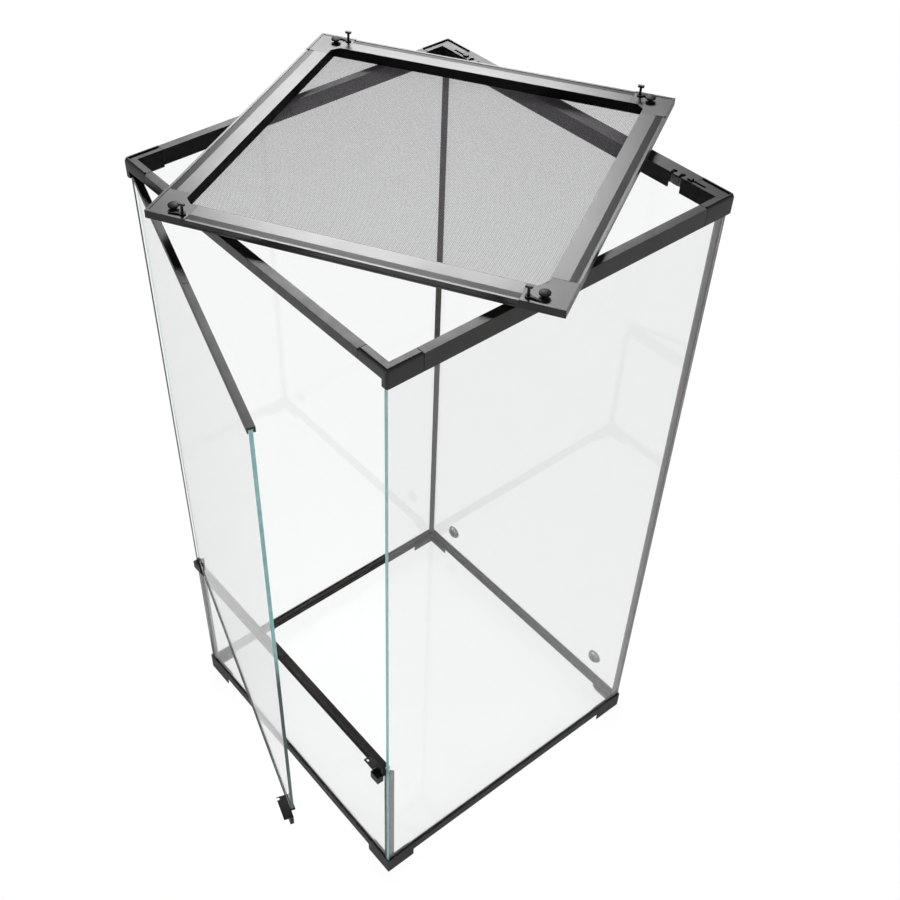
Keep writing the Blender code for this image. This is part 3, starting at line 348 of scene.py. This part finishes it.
def clouded_material(name, index, cloud_size, detail, tones, dullness):
    """A finish whose colour and roughness both drift a little, in clouds of one size."""
    material, shader = start_material(name, IOR=index)
    place = add_node(material, "TexCoord", {}, {}).outputs["Object"]
    noise = {"Scale": 1 / cloud_size, "Detail": detail}
    cloud = add_node(material, "TexNoise", noise, {"Vector": place}).outputs["Fac"]
    tone = add_node(material, "ValToRGB", {"ramp": list(zip((0.3, 0.7), tones))}, {"Fac": cloud})
    spread = dict(zip(("To Min", "To Max"), dullness))
    dull = add_node(material, "MapRange", spread, {"Value": cloud})
    feed(shader, Base_Color=tone.outputs["Color"], Roughness=dull.outputs["Result"])
    return material


def wire_row(length, first, last, pitch, radius, height):
    """Straight wires along X, side by side along Y from first to last, at one height."""
    count = int((last - first) / pitch) + 1
    start = (first + last - (count - 1) * pitch) / 2
    bpy.ops.mesh.primitive_cylinder_add(
        vertices=6, radius=radius, depth=length, rotation=(0, pi / 2, 0), location=(0, start, height)
    )
    row = bpy.context.object
    choose(row)
    bpy.ops.object.transform_apply(location=True, rotation=True, scale=True)
    apply_modifier(
        row,
        "ARRAY",
        count=count,
        use_relative_offset=False,
        use_constant_offset=True,
        constant_offset_displace=(0, pitch, 0),
    )
    return row


def woven_sheet(name, width, depth, pitch, radius, turn):
    """Two rows of wires that cross, one lying on the other, joined and turned into place."""
    weft = wire_row(width, -depth / 2 + radius, depth / 2 - radius, pitch, radius, radius)
    warp = wire_row(depth, -width / 2 + radius, width / 2 - radius, pitch, radius, -radius)
    warp.rotation_euler.z = pi / 2
    choose(weft)
    warp.select_set(True)
    bpy.ops.object.join()
    weft.name = name
    weft.matrix_world = turn
    bpy.ops.object.transform_apply(location=True, rotation=True, scale=True)
    bpy.ops.object.shade_smooth_by_angle(angle=radians(70))
    put_on(weft, wire_enamel)
    return weft


# The wire is enamelled black. It is drawn grey here, a painted sheen, which gives the whole sheet the grey
# that the photograph shows.
wire_enamel = clouded_material(
    "enamelled_wire_black",
    index=1.5,
    cloud_size=0.0025,
    detail=2.0,
    tones=("#7b747c", "#8e8690"),
    dullness=(0.3, 0.45),
)
low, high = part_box("vent_mesh")
upended = Matrix.Translation((low + high) / 2) @ Matrix.Rotation(pi / 2, 4, "X")
vent_wires = woven_sheet(
    "vent_mesh_woven", high.x - low.x, high.z - low.z, pitch=VENT_PITCH, radius=VENT_WIRE, turn=upended
)
stand_for(vent_wires, "vent_mesh")


# HINGE BRACKET AND LOCK CATCH
# Both are black ABS and snap over the ends of the strip. The bracket takes the door's lower pin, and
# the catch has a tab with a padlock hole and a block that the door's hook comes down beside.

# These small mouldings look a deeper black than the rails, without the brown.
deep_abs = copied_material(
    moulded_abs, "moulded_abs_deep_black", tones=("#0f0e0e", "#161414"), Specular_IOR_Level=0.2
)
for node in ("hinge_bracket", "lock_catch"):
    moulded_from(node, deep_abs, edge=0.0004)


# TOP FRAME
# Four rails hooked over the panes, and a corner piece at each end with a low ridge round its outside.
# They are moulded in the same black ABS as the base.
FRAME_MIDDLE = Vector((0, 0, 0.89))

# The faces that look inwards get little light; their deeper, matt black is painted shade.
painted_shade_abs = copied_material(
    moulded_abs,
    "moulded_abs_painted_shade_black",
    tones=("#080608", "#0d0b0d"),
    dullness=(0.6, 0.75),
    Specular_IOR_Level=0.2,
)


def paint_inner_shade(piece, middle):
    """Give a frame piece's upright faces that look towards the frame's middle the painted-shade black."""
    piece.data.materials.append(painted_shade_abs)
    for face in piece.data.polygons:
        towards = face.normal.dot(middle - face.center)
        face.material_index = 1 if towards > 0.05 and abs(face.normal.z) < 0.5 else 0


for node in [f"top_rail_{side}" for side in SIDES] + [f"top_corner_{corner}" for corner in CORNERS]:
    moulding = moulded_from(node, moulded_abs, edge=0.0004)
    paint_inner_shade(moulding, FRAME_MIDDLE)


# INLET SLIDERS
# A black plate under each end of the back rail, with a grip that stands up through a slot. Pushed
# along, it closes the notches that cables and tubes come in by.
for side in ("left", "right"):
    moulded_from(f"inlet_slider_{side}", moulded_abs, edge=0.0003)


# PORT PLUGS
# Two round plugs in soft grey rubber, pressed into holes low in the back pane. Pulled out, each leaves
# a hole that a tube or a cable goes through.

# Rubber from the mould is dull, with a faint sheen that drifts from spot to spot.
soft_rubber = clouded_material(
    "moulded_rubber_grey",
    index=1.45,
    cloud_size=0.00667,
    detail=3.0,
    tones=("#77777a", "#87878a"),
    dullness=(0.5, 0.65),
)
for side in ("left", "right"):
    moulded_from(f"port_plug_{side}", soft_rubber, edge=0.0004)


# DOOR
# A 4 mm pane of float glass with ground edges, a slim channel over its top edge in two lengths, a thin
# trim below, a shoe with a pin at each hinge corner, and a hasp on the free bottom corner.

# The thinner door is clearer than the fixed panes, and its index lies lower still under the real 1.52.
door_glass = copied_material(float_glass, "float_glass_door", Base_Color=linear("#fbfcfc"), IOR=1.2)

# Its edge is painted bright in the upper half and painted dark in the lower one, where it gathers the
# strip's black: a painted glow above and painted shade below.
FADE_HEIGHTS = {"From Min": 0.515, "From Max": 0.565}
FADE_SHARES = {"To Min": 0.1, "To Max": 1.0}
door_edge = copied_material(ground_edge, "ground_glass_edge_door")
place = add_node(door_edge, "TexCoord", {}, {}).outputs["Object"]
parts = add_node(door_edge, "SeparateXYZ", {}, {0: place})
shade = add_node(door_edge, "MapRange", {**FADE_HEIGHTS, **FADE_SHARES}, {"Value": parts.outputs["Z"]})
tone = next(node for node in door_edge.node_tree.nodes if node.type == "VALTORGB")
shaded = {0: tone.outputs["Color"], "Scale": shade.outputs["Result"]}
painted_glow_and_shade = add_node(door_edge, "VectorMath", {"operation": "SCALE"}, shaded).outputs["Vector"]
feed(door_edge.node_tree.nodes["Principled BSDF"], Base_Color=painted_glow_and_shade, Emission_Color=painted_glow_and_shade)

door_pane = pane_from("door_glass")
door_pane.data.materials[CLEAR] = door_glass
door_pane.data.materials[GROUND] = door_edge
for node in ("door_header_hinge", "door_header_free", "door_trim"):
    moulded_from(node, moulded_abs, edge=0.0003)
for node in ("door_pivot_top", "door_pivot_bottom", "door_hasp"):
    moulded_from(node, deep_abs, edge=0.0003)


# LID FRAME
# Four hollow aluminium bars in satin black enamel, and four moulded corners that plug into their ends.
# The lid lies askew on the top frame, and only its weight holds it there.
LID_PLACE = Matrix.Translation((-0.0192, 0.0195, 0.8987)) @ Matrix.Rotation(radians(29.23), 4, "Z")
LID_WAYS = {"left": (-1, 0), "right": (1, 0), "front": (0, -1), "back": (0, 1)}
SLOPE_WIDTH = 0.0110    # the outer part of a bar's top, which slopes down to the outer edge
SLOPE_FALL = 0.0007
RIM_WIDTH = 0.0035    # the points that go down with the outer edge lie this near to it
RIM_DEPTH = 0.0012    # and this near to the top
GROOVE_DROP = 0.0058    # from a bar's top down to the middle of the fine groove along its outer side
GROOVE_HALF = 0.0006
GROOVE_DEPTH = 0.0005
END_REACH = 0.00028    # how far each end goes on, so that no light shows between bar and corner
NEAR = 0.0002    # how near a point lies to the line that it is picked by

# Satin enamel over smooth metal: soft, wide glints that drift a little, and no grain.
lid_enamel = clouded_material(
    "satin_enamel_black",
    index=1.5,
    cloud_size=0.0556,
    detail=3.0,
    tones=("#424042", "#4b494b"),
    dullness=(0.26, 0.34),
)
# The moulded corners are blacker and a little duller than the bars.
corner_abs = copied_material(
    lid_enamel, "moulded_abs_satin_black", tones=("#262526", "#2e2d2e"), dullness=(0.3, 0.4)
)


def cut_across(piece, point, normal):
    """Part a piece's faces along a plane, and leave both sides of the cut in place."""
    choose(piece)
    bpy.ops.object.mode_set(mode="EDIT")
    bpy.ops.mesh.select_all(action="SELECT")
    bpy.ops.mesh.bisect(plane_co=point, plane_no=normal)
    bpy.ops.object.mode_set(mode="OBJECT")


def shift_where(piece, wanted, move):
    """Move the points of a piece that wanted() picks by their place."""
    choose(piece)
    bpy.ops.object.mode_set(mode="EDIT")
    bpy.ops.mesh.select_all(action="DESELECT")
    bpy.ops.object.mode_set(mode="OBJECT")
    for vertex in piece.data.vertices:
        vertex.select = wanted(vertex.co)
    bpy.ops.object.mode_set(mode="EDIT")
    bpy.ops.mesh.select_mode(type="VERT")
    bpy.ops.transform.translate(value=move)
    bpy.ops.object.mode_set(mode="OBJECT")


lid_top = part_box("lid_bar_front")[1].z
for side, way in LID_WAYS.items():
    bar = merged_copy(f"lid_bar_{side}", f"lid_bar_{side}_enamelled")
    out = (LID_PLACE.to_3x3() @ Vector((*way, 0))).normalized()
    edge = max(vertex.co.dot(out) for vertex in bar.data.vertices)
    # The inner part of the top stays level and the outer part slopes, so each catches its own light.
    cut_across(bar, out * (edge - SLOPE_WIDTH), out)
    shift_where(
        bar,
        lambda co: edge - co.dot(out) < RIM_WIDTH and co.z > lid_top - RIM_DEPTH,
        (0, 0, -SLOPE_FALL),
    )
    for drop in (GROOVE_DROP - GROOVE_HALF, GROOVE_DROP, GROOVE_DROP + GROOVE_HALF):
        cut_across(bar, (0, 0, lid_top - drop), (0, 0, 1))
    shift_where(
        bar,
        lambda co: edge - co.dot(out) < NEAR and abs(lid_top - GROOVE_DROP - co.z) < NEAR,
        out * -GROOVE_DEPTH,
    )
    along = out.cross(Vector((0, 0, 1)))
    places = [vertex.co.dot(along) for vertex in bar.data.vertices]
    for end, reach in ((min(places), -END_REACH), (max(places), END_REACH)):
        shift_where(bar, lambda co: abs(co.dot(along) - end) < NEAR, along * reach)
    round_edges(bar, edge=0.0002, smooth=3)
    put_on(bar, lid_enamel)
    stand_for(bar, f"lid_bar_{side}")
    # The inward faces of the bars and corners get the painted shade too.
    paint_inner_shade(bar, LID_PLACE.translation)
for corner in CORNERS:
    moulding = moulded_from(f"lid_corner_{corner}", corner_abs, edge=0.0005)
    paint_inner_shade(moulding, LID_PLACE.translation)


# LID SCREEN
# Fine wire cloth with black enamelled threads, held in the frame's inner groove all round. It lets air
# and light through.
SCREEN_WIDTH = 0.383
SCREEN_DEPTH = 0.372
SCREEN_PITCH = 0.0018    # from wire to wire
SCREEN_WIRE = 0.00017    # a wire's radius
SCREEN_RISE = 0.0005    # from the lid's origin up to where the two rows of wires meet
screen = woven_sheet(
    "lid_screen_woven",
    SCREEN_WIDTH,
    SCREEN_DEPTH,
    pitch=SCREEN_PITCH,
    radius=SCREEN_WIRE,
    turn=LID_PLACE @ Matrix.Translation((0, 0, SCREEN_RISE)),
)
stand_for(screen, "lid_screen")


# LID PLUGS AND PINS
# At each corner a soft black button on a strap, tied to a T-shaped pin that is pushed down to hold the
# lid in place.

# The straps' rubber is a little duller than the pins' ABS, and a plain black.
strap_rubber = clouded_material(
    "moulded_rubber_black",
    index=1.45,
    cloud_size=0.005,
    detail=3.0,
    tones=("#151414", "#1c1b1b"),
    dullness=(0.45, 0.6),
)
for corner in CORNERS:
    moulded_from(f"lid_plug_{corner}", strap_rubber, edge=0.0003)
    moulded_from(f"lid_pin_{corner}", moulded_abs, edge=0.0003)


# ROOM
# A pale floor that runs out of sight, a large softbox behind the terrarium whose reflection lies in
# every level surface, a softer one beside the camera, and even white light all round.
FLOOR_RADIUS = 9.0
FLOOR_GLOW = 1.12    # the strength of the white that the camera sees on the floor
SHADOW_SHARE = 0.15    # how much of the real floor, with its shadow, is left in what the camera sees
FLOOR_MIRRORED = 0.55    # how much of that white a mirror image of the floor shows
AMBIENT = 0.26    # the strength of the white light all round
LAMP_AIM = Vector((0, 0, 0.7))
SIDE_FADE = 6.4    # times u (1 - u) this reaches 1 a fifth of the way in from a lamp's side
scene = bpy.context.scene
scene.view_settings.view_transform = "Standard"


def shown_white(material_or_world, lit, white, mirrored):
    """Mix what is lit with plain white, seen straight or through glass, and in part in a mirror."""
    path = add_node(material_or_world, "LightPath", {}, {})
    straight = {0: path.outputs["Is Camera Ray"], 1: path.outputs["Is Transmission Ray"]}
    seen = add_node(material_or_world, "Math", {"operation": "MAXIMUM"}, straight)
    mirror = {0: path.outputs["Is Glossy Ray"]}
    share = add_node(material_or_world, "Math", {"operation": "MULTIPLY", 1: mirrored}, mirror)
    either = {0: seen.outputs[0], 1: share.outputs[0]}
    white_share = add_node(material_or_world, "Math", {"operation": "MAXIMUM"}, either)
    mix = add_node(material_or_world, "MixShader", {}, {0: white_share.outputs[0], 1: lit, 2: white})
    return mix.outputs[0]


# Painted board: an even white with the terrarium's soft shadow on it.
bpy.ops.mesh.primitive_circle_add(vertices=96, radius=FLOOR_RADIUS, fill_type="NGON", location=(0, 0, 0))
floor = bpy.context.object
floor.name = "studio_floor"
studio_floor, shader = start_material("studio_floor_white", Base_Color=linear("#d8d8d8"), Roughness=0.9)
lit_board = shader.outputs[0]
glow = add_node(studio_floor, "Emission", {"Color": (1, 1, 1, 1), "Strength": FLOOR_GLOW}, {})
veil = add_node(studio_floor, "MixShader", {0: 1 - SHADOW_SHARE}, {1: lit_board, 2: glow.outputs[0]})
floor_look = shown_white(studio_floor, lit_board, veil.outputs[0], FLOOR_MIRRORED)
feed(studio_floor.node_tree.nodes["Material Output"], Surface=floor_look)
put_on(floor, studio_floor)

world = bpy.data.worlds.new("studio_air")
world.use_nodes = True
scene.world = world
ambient = world.node_tree.nodes["Background"]
ambient.inputs["Strength"].default_value = AMBIENT
backdrop = add_node(world, "Background", {"Color": (1, 1, 1, 1), "Strength": 1.0}, {})
world_look = shown_white(world, ambient.outputs[0], backdrop.outputs[0], 0.0)
feed(world.node_tree.nodes["World Output"], Surface=world_look)


def softbox(name, direction, distance, width, height, power, rise):
    """A large lamp behind cloth, soft at its sides, that points at the terrarium's top.

    Its light rises from the lower edge to the upper one, the more so the greater the value of rise.
    """
    lamp = bpy.data.lights.new(name, "AREA")
    lamp.use_nodes = True
    spot = add_node(lamp, "NewGeometry", {}, {}).outputs["Parametric"]
    parts = add_node(lamp, "SeparateXYZ", {}, {0: spot}).outputs
    rest = add_node(lamp, "Math", {"operation": "SUBTRACT", 0: 1.0}, {1: parts["X"]})
    hill = add_node(lamp, "Math", {"operation": "MULTIPLY"}, {0: parts["X"], 1: rest.outputs[0]})
    steep = add_node(lamp, "Math", {"operation": "MULTIPLY", 1: SIDE_FADE}, {0: hill.outputs[0]})
    across = add_node(lamp, "Math", {"operation": "MINIMUM", 1: 1.0}, {0: steep.outputs[0]})
    upwards = add_node(lamp, "Math", {"operation": "POWER", 1: rise}, {0: parts["Y"]})
    both = {0: across.outputs[0], 1: upwards.outputs[0]}
    strength = add_node(lamp, "Math", {"operation": "MULTIPLY"}, both)
    emitter = next(node for node in lamp.node_tree.nodes if node.type == "EMISSION")
    feed(emitter, Strength=strength.outputs[0])
    lamp.shape = "RECTANGLE"
    lamp.size = width
    lamp.size_y = height
    lamp.energy = power
    holder = bpy.data.objects.new(name, lamp)
    holder.location = LAMP_AIM + Vector(direction).normalized() * distance
    holder.rotation_euler = Vector(direction).to_track_quat("Z", "Y").to_euler()
    scene.collection.objects.link(holder)


softbox(
    "softbox_behind",
    direction=(-0.694, 0.552, 0.462),
    distance=6.0,
    width=2.75,
    height=2.44,
    power=680,
    rise=2.0,
)
softbox(
    "softbox_camera_side",
    direction=(0.9, -0.35, 0.75),
    distance=2.8,
    width=1.6,
    height=1.6,
    power=26,
    rise=0.0,
)

# The camera looks down from the front right, as the photograph does. Its place, angles and lens were
# fitted to the edges of the glass box.
CAMERA_PLACE = Vector((0.86520453, -0.72826829, 1.57476727))
turn, tilt, roll = radians(52.06), radians(45.41), radians(-0.32)
camera_data = bpy.data.cameras.new("camera")
camera_data.sensor_width = 36.0
camera_data.lens = 48.88
camera_data.shift_x = 0.0733
camera_data.shift_y = 0.0475
camera = bpy.data.objects.new("camera", camera_data)
backwards = Vector((sin(turn) * cos(tilt), -cos(turn) * cos(tilt), sin(tilt)))
level = Vector((cos(turn), sin(turn), 0.0))
above = backwards.cross(level)
rightwards = cos(roll) * level + sin(roll) * above
upwards = -sin(roll) * level + cos(roll) * above
axes = Matrix((rightwards, upwards, backwards)).transposed()
camera.matrix_world = Matrix.Translation(CAMERA_PLACE) @ axes.to_4x4()
scene.collection.objects.link(camera)
scene.camera = camera
